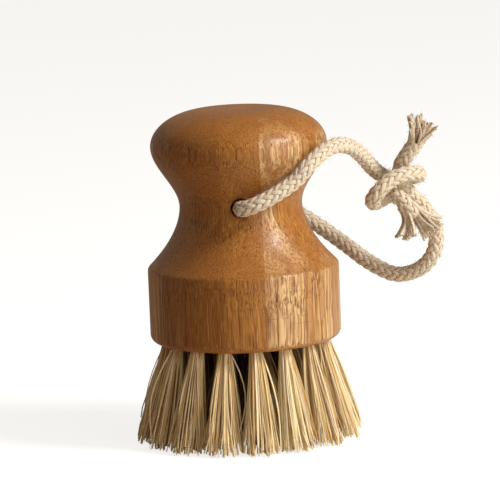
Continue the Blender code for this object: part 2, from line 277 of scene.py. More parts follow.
def tubes(name, ways, width, thickness, sides, finish, facing=None, tones=None):
    """One mesh of many tubes. ways is (tube, point, xyz); width and thickness are full sizes, which may
    differ from tube to tube and point to point; facing is the direction that the flat side looks in."""
    count, steps, _ = ways.shape
    if facing is None:
        spin = np.random.default_rng(len(name) + count).normal(size=(count, 3))
        _, across, rise = carried_frames(ways, spin)
    else:
        ahead = unit(np.gradient(ways, axis=1))
        across = unit(np.cross(facing, ahead))
        rise = np.cross(ahead, across)
    width = np.broadcast_to(width, (count, steps))[..., None, None] / 2
    thickness = np.broadcast_to(thickness, (count, steps))[..., None, None] / 2
    turn = np.linspace(0, math.tau, sides, endpoint=False)
    points = (ways[:, :, None] + width * np.cos(turn)[:, None] * across[:, :, None]
              + thickness * np.sin(turn)[:, None] * rise[:, :, None])
    index = np.arange(count * steps * sides).reshape(count, steps, sides)
    follow = np.roll(index, -1, axis=2)
    quads = np.stack([index[:, :-1], follow[:, :-1], follow[:, 1:], index[:, 1:]], axis=-1)
    first_ends, last_ends = index[:, 0, ::-1], index[:, -1]
    corners = np.concatenate([quads.reshape(-1), first_ends.reshape(-1), last_ends.reshape(-1)])
    sizes = np.concatenate([np.full(quads.size // 4, 4), np.full(count * 2, sides)])
    starts = np.concatenate([[0], np.cumsum(sizes)[:-1]])

    mesh = bpy.data.meshes.new(name)
    mesh.vertices.add(points.size // 3)
    mesh.vertices.foreach_set("co", points.reshape(-1).astype(np.float32))
    mesh.loops.add(corners.size)
    mesh.loops.foreach_set("vertex_index", corners.astype(np.int32))
    mesh.polygons.add(sizes.size)
    mesh.polygons.foreach_set("loop_start", starts.astype(np.int32))
    mesh.update(calc_edges=True)
    mesh.shade_smooth()
    mesh.set_sharp_from_angle(angle=SHARP_TUBE_EDGE)

    reach = np.linalg.norm(np.diff(ways, axis=1), axis=-1)
    along = np.concatenate([np.zeros((count, 1)), np.cumsum(reach, axis=1)], axis=1) * MM_PER_METRE
    tones = np.zeros(count) if tones is None else tones
    shape = (count, steps, sides)
    for label, values in (("along", along[:, :, None]), ("round", turn / math.tau),
                          ("tone", tones[:, None, None])):
        layer = mesh.attributes.new(label, "FLOAT", "POINT")
        layer.data.foreach_set("value", np.broadcast_to(values, shape).reshape(-1).astype(np.float32))
    mesh.materials.append(finish)
    return linked(name, mesh)


def joined(whole, *others):
    """One object that takes in the others' meshes."""
    with bpy.context.temp_override(active_object=whole, selected_editable_objects=[whole, *others]):
        bpy.ops.object.join()
    return whole


print("tubes can be built")

# %% [markdown]
# ## The hanging cord's way
# The cord is one length of undyed cotton, braided from sixteen yarns. It runs through a bore in the neck.
# The rear leg drops, turns and comes up through the knot as the upper tail. The front leg passes behind it,
# comes round its right side and across in front, hooks back underneath and leaves as the lower tail.
# The CAD model has the same two ways, which meet in the middle of the bore. Each is a smooth curve through
# points whose heights count from the bore's axis.

# %% The two ways of the cord
BORE_LEVEL = 0.069
NECK_RADIUS = 0.0176
FRONT_ROUTE = (
    (0.0, -0.00015, 0.0), (0.0, -0.0080, 0.0), (0.0, -0.0160, 0.0), (0.0005, -0.0204, 0.0003),
    (0.0040, -0.0224, 0.0016), (0.0098, -0.0217, 0.0042), (0.0158, -0.0199, 0.0079),
    (0.0189, -0.0194, 0.0112), (0.0218, -0.0176, 0.0137), (0.0248, -0.0145, 0.0155),
    (0.0286, -0.0100, 0.0161), (0.0326, -0.0045, 0.0142), (0.0358, 0.0005, 0.0106),
    (0.0384, 0.0050, 0.0069), (0.0414, 0.0088, 0.0042), (0.0450, 0.0108, 0.0031),
    (0.0490, 0.0104, 0.0032), (0.0515, 0.0062, 0.0043), (0.0504, 0.0012, 0.0055),
    (0.0468, -0.0015, 0.0056), (0.0432, -0.0026, 0.0044), (0.0404, -0.0032, 0.0022),
    (0.0384, -0.0024, -0.0002), (0.0378, -0.0002, -0.0020), (0.0389, 0.0024, -0.0026),
    (0.0410, 0.0035, -0.0017), (0.0431, 0.0023, -0.0006), (0.0449, 0.0002, -0.0008),
    (0.0466, -0.0018, -0.0021), (0.0483, -0.0029, -0.0041), (0.0500, -0.0033, -0.0062),
)
REAR_ROUTE = (
    (0.0, 0.00015, 0.0), (0.0, 0.0080, 0.0), (0.0, 0.0160, 0.0), (0.0006, 0.0206, -0.0004),
    (0.0042, 0.0244, -0.0020), (0.0110, 0.0274, -0.0056), (0.0186, 0.0280, -0.0098),
    (0.0253, 0.0266, -0.0144), (0.0306, 0.0238, -0.0182), (0.0368, 0.0194, -0.0226),
    (0.0446, 0.0146, -0.0258), (0.0512, 0.0110, -0.0238), (0.0550, 0.0090, -0.0195),
    (0.0562, 0.0080, -0.0143), (0.0550, 0.0074, -0.0092), (0.0524, 0.0069, -0.0048),
    (0.0490, 0.0063, -0.0010), (0.0467, 0.0055, 0.0027), (0.0462, 0.0042, 0.0069),
    (0.0483, 0.0025, 0.0109), (0.0510, 0.0010, 0.0147),
)
WAY_STEP = 0.00032
POINTS_PER_SPAN = 24


def smooth_way(route):
    """Evenly spaced points of the smooth curve through a route, and its length. The curve's knots are
    spaced by the square roots of the chords, so it makes no loops of its own."""
    way = np.array(route) + (0, 0, BORE_LEVEL)
    way = np.vstack([way[0] * 2 - way[1], way, way[-1] * 2 - way[-2]])
    points = []
    for p, q, r, s in zip(way, way[1:], way[2:], way[3:]):
        chords = [np.linalg.norm(b - a) for a, b in ((p, q), (q, r), (r, s))]
        knots = np.concatenate([[0], np.cumsum([chord ** 0.5 for chord in chords])])
        t = np.linspace(knots[1], knots[2], POINTS_PER_SPAN, endpoint=False)[:, None]

        def mix(a, b, start, end):
            return a + (b - a) * (t - start) / (end - start)

        near, mid, far = mix(p, q, *knots[0:2]), mix(q, r, *knots[1:3]), mix(r, s, *knots[2:4])
        nearer, farther = mix(near, mid, *knots[0:3:2]), mix(mid, far, *knots[1:4:2])
        points.append(mix(nearer, farther, *knots[1:3]))
    points = np.vstack([*points, way[-2:-1]])
    along = np.concatenate([[0], np.cumsum(np.linalg.norm(np.diff(points, axis=0), axis=1))])
    even = np.linspace(0, along[-1], round(along[-1] / WAY_STEP) + 1)
    return np.stack([np.interp(even, along, points[:, k]) for k in range(3)], axis=1), along[-1]


front_way, front_length = smooth_way(FRONT_ROUTE)
rear_way, rear_length = smooth_way(REAR_ROUTE)
print("front leg", round(front_length, 4), "m, rear leg", round(rear_length, 4), "m")

# %% [markdown]
# ## Cotton
# Each yarn is itself spun from a few plies, so fine slanted grooves run round it. They come from a sine of
# how far round and how far along the yarn a point is. Undyed cotton is an uneven cream, soft and matt. The
# grooves, and a yarn's sides where they sink between its neighbours, are painted darker and warmer: painted
# shade in those crevices. A little sheen stands for the lint on it.

# %% Cotton finish
WARM_COTTON = (0.76, 0.64, 0.46)
HUSK_FLECK = (0.56, 0.38, 0.20)
# Painted shade: the colours laid into the ply grooves and onto the yarns' sunk sides
PLY_GROOVE_SHADE = (0.60, 0.44, 0.27)
SUNK_SIDE_SHADE = (0.44, 0.20, 0.060)


def cotton_finish(name, plies, lay_mm, crevice_shade, dull, bright):
    """A thread of this many plies that turn once in lay_mm. Its tone lies between dull and bright."""
    made, spot = begin(name)
    along, round_it, tone = spot.stored("along"), spot.stored("round"), spot.stored("tone")
    groove = (round_it * plies + along / lay_mm).wave()
    lint = spot.noise(2.6, 4.0, 0.65)
    cloud = spot.noise(0.22, 2.0).fade(0.35, 0.7)
    fleck = spot.noise(1.1, 2.0).fade(0.66, 0.78)
    # Painted shade: the grooves and the sides that sink between neighbours are coloured darker and warmer
    sunk_shade = (round_it * math.tau).math("SINE").fade(0.72, 0.05)
    shade = layered(tone.blend(dull, bright), (cloud * 0.4, WARM_COTTON), (fleck * 0.35, HUSK_FLECK),
                    ((1 - groove) * crevice_shade, PLY_GROOVE_SHADE), (sunk_shade * crevice_shade * 2.5, SUNK_SIDE_SHADE))
    height = groove * 0.6 + lint * 0.5
    return close(made, Base_Color=shade, Roughness=0.92, Specular_IOR_Level=0.2, Sheen_Weight=0.35,
                 Sheen_Roughness=0.5, Normal=bumped(height, 0.00008))


yarn_finish = cotton_finish("cotton_yarn", plies=5, lay_mm=2.6, crevice_shade=0.32,
                            dull=(0.79, 0.700, 0.545), bright=(0.79, 0.72, 0.585))
ply_finish = cotton_finish("cotton_ply", plies=2, lay_mm=1.6, crevice_shade=0.16,
                           dull=(0.80, 0.70, 0.53), bright=(0.83, 0.76, 0.62))
print("cotton finishes made")

# %% [markdown]
# ## Braiding the cord
# Eight yarns wind one way round a core and eight the other way, each passing over two and under two. Seen
# from the side that gives columns of slanted stitches that lean left and right in turn. Each yarn's height
# above the core is a wave whose phase is set by which yarns it meets. A texture could fake this, but the
# cord's outline is as bumpy as its surface, so the yarns are real. Short stray hairs soften the outline.

# %% Braid
YARNS_EACH_WAY = 8
BRAID_TURN = 0.0205
YARN_WIDTH = 0.00150
YARN_THICKNESS = 0.00085
YARN_SIDES = 8
YARNS_PER_WAVE = 4
BRAID_MIDDLE_RADIUS = 0.00162
BRAID_WAVE = 0.00030
BRAID_WAVE_POWER = 0.8
CORE_DIAMETER = 0.0029
CORE_SIDES = 12
CORE_STRIDE = 4
TIGHTEST_INSIDE_SHARE = 0.72
BEND_POINTS = 7
FUZZ_HAIRS = 700
FUZZ_END_POINTS = 6
FUZZ_ROOT_RADIUS = 0.0020
FUZZ_LENGTHS = (0.0006, 0.0013)
FUZZ_WIDTH = 0.00006
FUZZ_CURL = 0.0004
HAIR_STEPS = 5
HAIR_SIDES = 3


def cord_frames(way):
    """The direction ahead and two directions square to it, at each point of the cord's way."""
    ahead, across, rise = carried_frames(way[None], np.array([[0.2, 0.1, 1.0]]))
    return ahead[0], across[0], rise[0]


def kept_clear(way, offsets):
    """Offsets from the way, drawn in where they would pass the middle of a tight bend."""
    step = np.linalg.norm(way[1] - way[0])
    bend = np.gradient(np.gradient(way, axis=0), axis=0) / step ** 2
    smooth = np.ones(BEND_POINTS) / BEND_POINTS
    bend = np.stack([np.convolve(bend[:, k], smooth, mode="same") for k in range(3)], axis=1)
    ends = BEND_POINTS // 2 + 1
    bend[:ends] = bend[-ends:] = 0
    tightness = np.linalg.norm(bend, axis=1, keepdims=True)
    inward = bend / np.maximum(tightness, 1e-9)
    reach = np.sum(offsets * inward, axis=1, keepdims=True)
    most = TIGHTEST_INSIDE_SHARE / np.maximum(tightness, 1e-9)
    return offsets - inward * np.maximum(reach - most, 0)


def braid_ways(way):
    """The ways of all the yarns, and the direction in which each faces outwards."""
    _, across, rise = cord_frames(way)
    along = np.arange(len(way)) * np.linalg.norm(way[1] - way[0])
    crossings = along / BRAID_TURN * YARNS_EACH_WAY * 2
    ways, facing = [], []
    for side in (1, -1):
        for k in range(YARNS_EACH_WAY):
            angle = math.tau * (k / YARNS_EACH_WAY + side * along / BRAID_TURN)
            wave = side * np.cos(math.tau * (2 * k + side * crossings - 0.5) / YARNS_PER_WAVE)
            radius = BRAID_MIDDLE_RADIUS + BRAID_WAVE * np.sign(wave) * np.abs(wave) ** BRAID_WAVE_POWER
            out = across * np.cos(angle)[:, None] + rise * np.sin(angle)[:, None]
            ways.append(way + kept_clear(way, out * radius[:, None]))
            facing.append(out)
    return np.array(ways), np.array(facing)


def hair_ways(roots, directions, lengths, curls):
    """Hairs that set off straight and bend more and more."""
    t = np.linspace(0, 1, HAIR_STEPS)[None, :, None]
    return roots[:, None] + directions[:, None] * lengths * t + curls * t ** 2


def fuzz(name, way, count):
    """Short stray hairs of cotton that stand out of the cord."""
    rng = np.random.default_rng(count)
    ahead, across, rise = cord_frames(way)
    at = rng.integers(FUZZ_END_POINTS, len(way) - FUZZ_END_POINTS, count)
    turn = rng.random(count) * math.tau
    out = across[at] * np.cos(turn)[:, None] + rise[at] * np.sin(turn)[:, None]
    lean = out * 0.8 + ahead[at] * rng.normal(0, 1.0, (count, 1)) + rng.normal(0, 0.5, (count, 3))
    curl = rng.normal(0, FUZZ_CURL, (count, 1, 3))
    ways = hair_ways(way[at] + out * FUZZ_ROOT_RADIUS, unit(lean),
                     rng.uniform(*FUZZ_LENGTHS, (count, 1, 1)), curl)
    return tubes(name, ways, FUZZ_WIDTH, FUZZ_WIDTH, HAIR_SIDES, yarn_finish, tones=rng.random(count))


def braid(name, way):
    """A length of braided cord: sixteen yarns and the core that they cover."""
    ways, facing = braid_ways(way)
    tones = np.random.default_rng(len(way)).random(len(ways))
    made = tubes(name, ways, YARN_WIDTH, YARN_THICKNESS, YARN_SIDES, yarn_finish, facing, tones)
    core = tubes(name + "_core", way[None, ::CORE_STRIDE], CORE_DIAMETER, CORE_DIAMETER, CORE_SIDES,
                 yarn_finish)
    return joined(made, core, fuzz(name + "_fuzz", way, FUZZ_HAIRS))


front_cord = braid("front_cord", front_way)
rear_cord = braid("rear_cord", rear_way)
print("braided", len(front_cord.data.polygons) + len(rear_cord.data.polygons), "faces")

# %% [markdown]
# ## Frayed ends
# Past its last stitch the braid comes apart. Its yarns spring outwards, and near their ends each yarn
# opens into its plies. A ply therefore starts with its yarn's place, direction and curl, and has a little
# of its own in each. Single hairs stand off the plies' ends. The yarns start inside the tail, so nothing
# shows a seam. The lower tail parts into two bunches.

# %% Fray the ends
PLIES_PER_YARN = 4
PLY_WIDTHS = (0.00070, 0.00098)
PLY_SIDES = 7
PLY_FLATNESS = 0.85
PLY_JITTER = 0.00018
WISPS_PER_PLY = 5
WISP_LENGTHS = (0.0006, 0.0018)
WISP_WIDTH = 0.00009
WISP_JITTER = 0.00016
WISP_CURL = 0.0003
FRAY_STEPS = 12
KNEE_SHARE = 0.40


def even_disc(count):
    """Angles and shares of the radius that spread points evenly over a disc, like a sunflower's seeds."""
    return np.arange(count) * math.pi * (3 - math.sqrt(5)), np.sqrt((np.arange(count) + 0.5) / count)


def frayed_end(name, tail_way, way, start, yarns, spread, length, seed):
    """Yarns that fan out round the way. start is their place square to the tail, the radius that they
    fill there, and how far back inside the tail they begin."""
    rng = np.random.default_rng(seed)
    aside, tail_radius, back = start
    ahead, across, rise = [direction[-1] for direction in cord_frames(tail_way)]
    turn, share = [values[:, None] for values in even_disc(yarns)]
    turn = turn + rng.normal(0, 0.3, (yarns, 1))
    out = across * np.cos(turn) + rise * np.sin(turn)
    yarn = np.repeat(np.arange(yarns), PLIES_PER_YARN)
    plies = len(yarn)

    def own(amount):
        """The same chance for all the plies of one yarn."""
        return rng.normal(0, amount, (yarns, 3))[yarn]

    root = (tail_way[-1] - ahead * back + np.array(aside) + (out * share * tail_radius)[yarn]
            + rng.normal(0, PLY_JITTER, (plies, 3)))
    lean = np.array(Vector(way).normalized()) + (out * spread * (0.1 + 0.9 * share))[yarn]
    lean = unit(lean + own(spread * 0.16) + rng.normal(0, 0.07, (plies, 3)))
    reach = length * rng.uniform(0.84, 1.06, (yarns, 1))[yarn] * rng.uniform(0.90, 1.06, (plies, 1)) + back
    knee = root + ahead * reach * KNEE_SHARE
    tip = knee + lean * reach * (1 - KNEE_SHARE)
    t = np.linspace(0, 1, FRAY_STEPS)[None, :, None]
    curl = own(length * 0.045)[:, None] * np.sin(t * math.tau * 0.7) * t
    open_up = rng.normal(0, length * 0.055, (plies, 1, 3)) * t ** 3
    ways = root[:, None] * (1 - t) ** 2 + knee[:, None] * 2 * t * (1 - t) + tip[:, None] * t ** 2
    ways = ways + curl + open_up
    size = rng.uniform(*PLY_WIDTHS, (plies, 1)) * np.linspace(1.0, 0.80, FRAY_STEPS)
    tones = np.clip(rng.random(yarns)[yarn] * 0.7 + rng.random(plies) * 0.3, 0, 1)
    made = tubes(name, ways, size, size * PLY_FLATNESS, PLY_SIDES, ply_finish, tones=tones)

    ply = np.repeat(np.arange(plies), WISPS_PER_PLY)
    wisps = len(ply)
    at = rng.integers(FRAY_STEPS // 2, FRAY_STEPS - 1, wisps)
    roots = ways[ply, at] + rng.normal(0, WISP_JITTER, (wisps, 3))
    onward = unit(ways[ply, at + 1] - ways[ply, at])
    onward = unit(onward + rng.normal(0, 0.35, (wisps, 3)))
    wisp_ways = hair_ways(roots, onward, rng.uniform(*WISP_LENGTHS, (wisps, 1, 1)),
                          rng.normal(0, WISP_CURL, (wisps, 1, 3)))
    return joined(made, tubes(name + "_wisps", wisp_ways, WISP_WIDTH, WISP_WIDTH, HAIR_SIDES, ply_finish,
                              tones=rng.random(wisps)))


lower_aside = unit(np.cross((0.0, 1.0, 0.0), front_way[-1] - front_way[-2]))
upper_end = frayed_end(
    "upper_frayed_end", rear_way, (0.05, -0.10, 1.00), ((0, 0, 0), 0.0018, 0.0032),
    yarns=16, spread=0.50, length=0.0072, seed=5)
left_end = frayed_end(
    "lower_left_frayed_end", front_way, (-0.26, -0.30, -0.92), (lower_aside * 0.0012, 0.0012, 0.0050),
    yarns=8, spread=0.56, length=0.0062, seed=7)
right_end = frayed_end(
    "lower_right_frayed_end", front_way, (0.66, -0.05, -0.76), (-lower_aside * 0.0008, 0.0014, 0.0032),
    yarns=10, spread=0.52, length=0.0072, seed=9)
print("frayed ends made")

# %% [markdown]
# The cord's pieces ride on the cord loop's body, and the CAD model's pieces of the cord are hidden. The two
# legs leave the block at the bore's two mouths, and each has its frayed ends with it.

for piece, node in ((front_cord, "cord_front_leg"), (rear_cord, "cord_rear_leg"),
                    (upper_end, "cord_upper_frayed_end"), (left_end, "cord_lower_frayed_end_left"),
                    (right_end, "cord_lower_frayed_end_right")):
    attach(piece, "cord_loop")
    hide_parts(node)

# %% [markdown]
# ## Bamboo
# Bamboo has no rings. Its stem is pale tissue with dark fibre bundles running up it, so a cut along the
# stem shows streaks and a cut across it shows dots. If the bundles are long thin cells in space, the
# turned surface cuts them by itself: streaks on the drum and the knob's middle, dots where it slopes.
# The blank is glued up from strips, each with its own tone and its own nodes, the places where the stem
# had its joints. There the bundles swerve and darken. Some strips are painted a deep brown, the ones on the
# block's left front most of all: painted shade on that side. The lathe leaves faint marks round the block.

# %% Bamboo finish
STRIP_WIDTH_MM = 11.5
STRIP_THICKNESS_MM = 12.5
# One glue line between strips shows at this place on the drum's front
FRONT_SEAM_MM = 5.8
BLANK_FRONT_MM = -27.7
LOWEST_NODE_MM = 38.5
NODE_ROW_RANGE_MM = 45
NODE_COLUMN_RANGE_MM = 8

# The ground's colours, and those of the layers over it
DARK_STRIP, PALE_STRIP = (0.46, 0.184, 0.023), (0.89, 0.645, 0.340)
# Painted shade: the deep brown laid over the strips on the block's left
LEFT_STRIP_SHADE = (0.17, 0.050, 0.004)
BAND = (0.33, 0.115, 0.016)
STREAK = (0.26, 0.083, 0.010)
PALE_GRAIN = (0.82, 0.47, 0.155)
FINE_BUNDLE = (0.21, 0.060, 0.007)
MIDDLING_BUNDLE = (0.15, 0.042, 0.006)
COARSE_BUNDLE = (0.115, 0.030, 0.004)
NODE_FLECK = (0.16, 0.050, 0.008)
TOOL_MARK = (0.16, 0.055, 0.010)
FINE_LINE = (0.16, 0.055, 0.014)
END_GRAIN = (0.39, 0.130, 0.016)


def bamboo_finish():
    made, spot = begin("bamboo")
    x, y, z = spot.parts()
    row_place = (y - BLANK_FRONT_MM) / STRIP_THICKNESS_MM
    row = row_place.floor()
    column_place = (x - FRONT_SEAM_MM) / STRIP_WIDTH_MM + (row * 0.618).fract()
    column = column_place.floor()
    tone = (row * 0.353 + column * 0.80 + 0.93).fract()
    # Painted shade: a tone per strip, phased so that the strips on the block's left front get the most
    left_strip_shade = (row * 0.78 + column * 0.16 + 0.65).wave()
    _, _, tilt = spot.node("NewGeometry", (), (), "Normal").parts()
    end_grain = abs(tilt).fade(0.25, 0.95)

    def wander(across, along, detail, reach):
        """A shift across the stem, of at most half of reach, that changes over the block."""
        aside = spot.grained(across, along, detail, output="Color")
        return aside.vector("SUBTRACT", (0.5, 0.5, 0.5)).vector("MULTIPLY", (reach, reach, 0))

    # Above each strip's node is a band where the bundles swerve
    node_level = ((row * 0.755).fract() * NODE_ROW_RANGE_MM
                  + (column * 0.618).fract() * NODE_COLUMN_RANGE_MM + LOWEST_NODE_MM)
    ragged = spot.grained(0.35, 0.05, 1.0) * 5 - 2.5
    above = z - node_level + ragged
    scar = above.fade(-2.0, 3.5) * above.fade(13.0, 4.5)
    # The node itself is a thin, broken line, nearly level
    crack = abs(above - ragged * 0.93).fade(0.12, 0.04) * spot.grained(0.5, 0.1, 1.0).fade(0.45, 0.52)
    swerve = wander(0.50, 0.22, 2.0, 2.6)
    swerve = swerve.node("VectorMath", {"operation": "SCALE"}, {0: swerve, "Scale": scar})
    drift, sway = wander(0.06, 0.030, 1.0, 4), wander(0.5, 0.16, 1.0, 0.5)
    bent = spot.vector("ADD", drift).vector("ADD", sway).vector("ADD", swerve)

    # Bundles are dots in the plane across the stem, so they run on as lines along it
    def bundles(spacing, least, most, soft):
        """A mask of bundles this far apart. Each has a size between least and most, and a strength."""
        cells = bent.vector("MULTIPLY", (1 / spacing, 1 / spacing, 1))
        gap = cells.node("TexVoronoi", {"voronoi_dimensions": "2D"}, {"Vector": cells, "Scale": 1.0})
        own, chance, _ = gap.beside("Color").parts()
        size = own * (most - least) + least
        return (gap - size).fade(soft, -soft * 0.4) * (chance * 0.55 + 0.45)

    worn = bent.grained(0.9, 0.16, 2.0, 0.6).fade(0.30, 0.62) * 0.6 + 0.4
    coarse = bundles(spacing=0.88, least=0.10, most=0.24, soft=0.09) * worn
    middling = bundles(spacing=0.60, least=0.09, most=0.22, soft=0.10) * worn
    fine = bundles(spacing=0.38, least=0.10, most=0.26, soft=0.15)
    grain = bent.grained(4.2, 0.10, 3.0, 0.65)
    streak = bent.grained(1.5, 0.020, 3.0, 0.6).fade(0.45, 0.62)
    band = bent.grained(0.30, 0.012, 2.0).fade(0.42, 0.62)
    fleck = spot.grained(1.9, 0.36, 3.0, 0.7).fade(0.56, 0.64)

    # What the maker leaves: the lathe's marks, in patches, and glue between the strips
    tool_marks = (spot.grained(0.05, 3.0, 3.0, 0.65).fade(0.56, 0.68)
                  * spot.grained(0.12, 0.14, 2.0).fade(0.46, 0.60))
    side_gap = (column_place - column).math("PINGPONG", 0.5) * STRIP_WIDTH_MM
    face_gap = (row_place - row).math("PINGPONG", 0.5) * STRIP_THICKNESS_MM
    glue = side_gap.math("MINIMUM", face_gap).fade(0.10, 0.03)
    lines = crack.math("MAXIMUM", glue * 0.6)

    pale = tone * tone * tone * 0.85 * (1 - end_grain * 0.7) + end_grain * 0.10
    shade = layered(
        pale.blend(DARK_STRIP, PALE_STRIP),
        (left_strip_shade ** 2.5 * 0.85 * (1 - end_grain * 0.5), LEFT_STRIP_SHADE), (band * 0.70, BAND),
        (streak * 0.72, STREAK), (grain.fade(0.45, 0.72) * 0.42, PALE_GRAIN),
        (fine * 0.58, FINE_BUNDLE), (middling * 0.80, MIDDLING_BUNDLE), (coarse * 0.92, COARSE_BUNDLE),
        (scar * fleck * 0.85, NODE_FLECK), (tool_marks * 0.40, TOOL_MARK), (lines * 0.6, FINE_LINE),
        (end_grain * 0.50, END_GRAIN))
    height = grain * 0.3 - coarse * 0.8 - middling * 0.5 - fine * 0.25 - lines - tool_marks * 0.5
    roughness = grain * 0.14 + coarse * 0.16 + 0.36
    return close(made, Base_Color=shade, Roughness=roughness, Specular_IOR_Level=0.30, Coat_Weight=0.13,
                 Coat_Roughness=0.22, Normal=bumped(height, 0.00004))


bamboo = bamboo_finish()
print("bamboo made")

# %% [markdown]
# ## The turned block
# The real block is turned on a lathe, and spinning an outline round its axis does the same. The outline
# repeats the CAD model's sizes in finer steps: a domed knob, a drawn-in neck, a cove that spreads to the
# drum's sharp shoulder, and the drum with its rounded lower edge.

# %% Block outline
BRISTLE_LENGTH = 0.0290
DRUM_RADIUS = 0.0275
DRUM_EDGE_RADIUS = 0.0023
CREASE_RADIUS = 0.0018
CREASE_LEVEL = 0.0513
NECK_LEVEL = 0.0680
KNOB_RADIUS = 0.0253
KNOB_WIDEST_LEVEL = 0.0852
KNOB_CROWN_HEIGHT = 0.0103
KNOB_FLAT_RADIUS = 0.0090
COVE_POWER = 1.85
KNOB_STEPS = 24
WAIST_STEPS = 32
CREASE_STEPS = 6
DRUM_EDGE_STEPS = 10


def arc(middle, radius, start, end, steps):
    """Points round the middle, from the start angle to the end angle in degrees."""
    angles = [math.radians(start + (end - start) * i / steps) for i in range(steps + 1)]
    return [(middle[0] + radius * math.cos(a), middle[1] + radius * math.sin(a)) for a in angles]


def block_outline():
    """The outline as (radius, level) points, from the top's centre down the outer side."""
    points = [(0.0, KNOB_WIDEST_LEVEL + KNOB_CROWN_HEIGHT)]
    for i in range(KNOB_STEPS + 1):
        a = math.pi / 2 * (1 - i / KNOB_STEPS)
        points.append((KNOB_FLAT_RADIUS + (KNOB_RADIUS - KNOB_FLAT_RADIUS) * math.cos(a),
                       KNOB_WIDEST_LEVEL + KNOB_CROWN_HEIGHT * math.sin(a)))
    for i in range(1, WAIST_STEPS + 1):
        share = 1 - i / WAIST_STEPS
        ease = share * share * (3 - 2 * share)
        points.append((NECK_RADIUS + (KNOB_RADIUS - NECK_RADIUS) * ease,
                       NECK_LEVEL + (KNOB_WIDEST_LEVEL - NECK_LEVEL) * share))
    crease_edge = DRUM_RADIUS - CREASE_RADIUS * (1 - math.cos(math.pi / 4))
    crease_top = CREASE_LEVEL - CREASE_RADIUS * (1 - math.sin(math.pi / 4))
    for i in range(1, WAIST_STEPS):
        share = i / WAIST_STEPS
        points.append((NECK_RADIUS + (crease_edge - NECK_RADIUS) * share ** COVE_POWER,
                       NECK_LEVEL + (crease_top - NECK_LEVEL) * share))
    points += arc((DRUM_RADIUS - CREASE_RADIUS, CREASE_LEVEL - CREASE_RADIUS),
                  CREASE_RADIUS, 45, 0, CREASE_STEPS)
    points += arc((DRUM_RADIUS - DRUM_EDGE_RADIUS, BRISTLE_LENGTH + DRUM_EDGE_RADIUS),
                  DRUM_EDGE_RADIUS, 0, -90, DRUM_EDGE_STEPS)
    return points + [(0.0, BRISTLE_LENGTH)]


outline = block_outline()
print("outline", len(outline), "points")

# %% [markdown]
# The tuft holes lie in three rings. Their places are worked out once here, and the tufts use them too.

# %% Tuft places
HOLE_RADIUS = 0.0022
HOLE_DEPTH = 0.0115
HOLE_RING_RADIUS = 0.0223
BRISTLE_SPREAD_RADIUS = 0.0325
# Name, count, first angle, and the CAD model's shares: hole ring, tips' ring, spread of one tuft's tips
TUFT_RINGS = (("outer", 16, -83.5, 1.0, 0.868, 0.1785), ("middle", 8, -72.0, 0.6, 0.5354, 0.2123),
              ("inner", 3, -50.0, 0.236, 0.197, 0.194))


def tuft_places():
    """Every tuft as (node name, angle, hole centre's radius, tips' radius, spread of its tips)."""
    return [(f"tuft_{name}_{i + 1:02d}", math.radians(first) + math.tau * i / count,
             HOLE_RING_RADIUS * hole, BRISTLE_SPREAD_RADIUS * tips, BRISTLE_SPREAD_RADIUS * spread)
            for name, count, first, hole, tips, spread in TUFT_RINGS for i in range(count)]


print(len(tuft_places()), "tufts")

# %% [markdown]
# The holes and the bore are drilled as the maker would drill them: each drill is turned like the block, and
# one Boolean cuts them all out. The bore's drill widens at both mouths, where the cord needs an eased edge.

# %% Turn and drill the block
LATHE_STEPS = 256
HOLE_STEPS = 32
BORE_STEPS = 48
BORE_RADIUS = 0.0028
MOUTH_EASE = 0.0007
MOUTH_STEPS = 6
DRILL_OVERRUN = 0.002
BORE_OVERRUN = 0.003
MOUTH_OVERRUN = 0.004
SHARP_BLOCK_EDGE = math.radians(38)


def lathe(name, points, steps, place=Matrix()):
    """A solid turned round its own Z from (radius, level) points."""
    bm = bmesh.new()
    verts = [bm.verts.new((r, 0, z)) for r, z in points]
    edges = [bm.edges.new(pair) for pair in zip(verts, verts[1:])]
    bmesh.ops.spin(bm, geom=verts + edges, cent=(0, 0, 0), axis=(0, 0, 1), angle=math.tau, steps=steps)
    bmesh.ops.remove_doubles(bm, verts=bm.verts, dist=1e-6)
    bmesh.ops.recalc_face_normals(bm, faces=bm.faces)
    bm.transform(place)
    mesh = bpy.data.meshes.new(name)
    bm.to_mesh(mesh)
    bm.free()
    return linked(name, mesh)


def drilled(blank, drills):
    """The blank with every drill cut out of it, as one finished mesh."""
    bm = bmesh.new()
    for drill in drills:
        bm.from_mesh(drill.data)
        bpy.data.objects.remove(drill)
    mesh = bpy.data.meshes.new("drills")
    bm.to_mesh(mesh)
    bm.free()
    cutter = linked("drills", mesh)
    cut = blank.modifiers.new("drill", "BOOLEAN")
    cut.solver = "EXACT"
    cut.object = cutter
    bpy.context.view_layer.update()
    evaluated = blank.evaluated_get(bpy.context.evaluated_depsgraph_get())
    finished = bpy.data.meshes.new_from_object(evaluated)
    blank.modifiers.clear()
    blank.data = finished
    bpy.data.objects.remove(cutter)
    return blank


block = lathe("turned_block", outline, LATHE_STEPS)
drills = []
hole_points = [(0, HOLE_DEPTH), (HOLE_RADIUS, HOLE_DEPTH), (HOLE_RADIUS, -DRILL_OVERRUN), (0, -DRILL_OVERRUN)]
for _, angle, hole_at, _, _ in tuft_places():
    place = Matrix.Rotation(angle, 4, "Z") @ Matrix.Translation((hole_at, 0, BRISTLE_LENGTH))
    drills.append(lathe("drill", hole_points, HOLE_STEPS, place))
bore_half = [(0, NECK_RADIUS + BORE_OVERRUN), (BORE_RADIUS + MOUTH_OVERRUN, NECK_RADIUS + BORE_OVERRUN)]
bore_half += [(BORE_RADIUS + MOUTH_EASE * (1 - math.cos(a)), NECK_RADIUS - MOUTH_EASE * (1 - math.sin(a)))
              for a in [math.pi / 2 * (1 - i / MOUTH_STEPS) for i in range(MOUTH_STEPS + 1)]]
bore_points = bore_half + [(r, -z) for r, z in reversed(bore_half)]
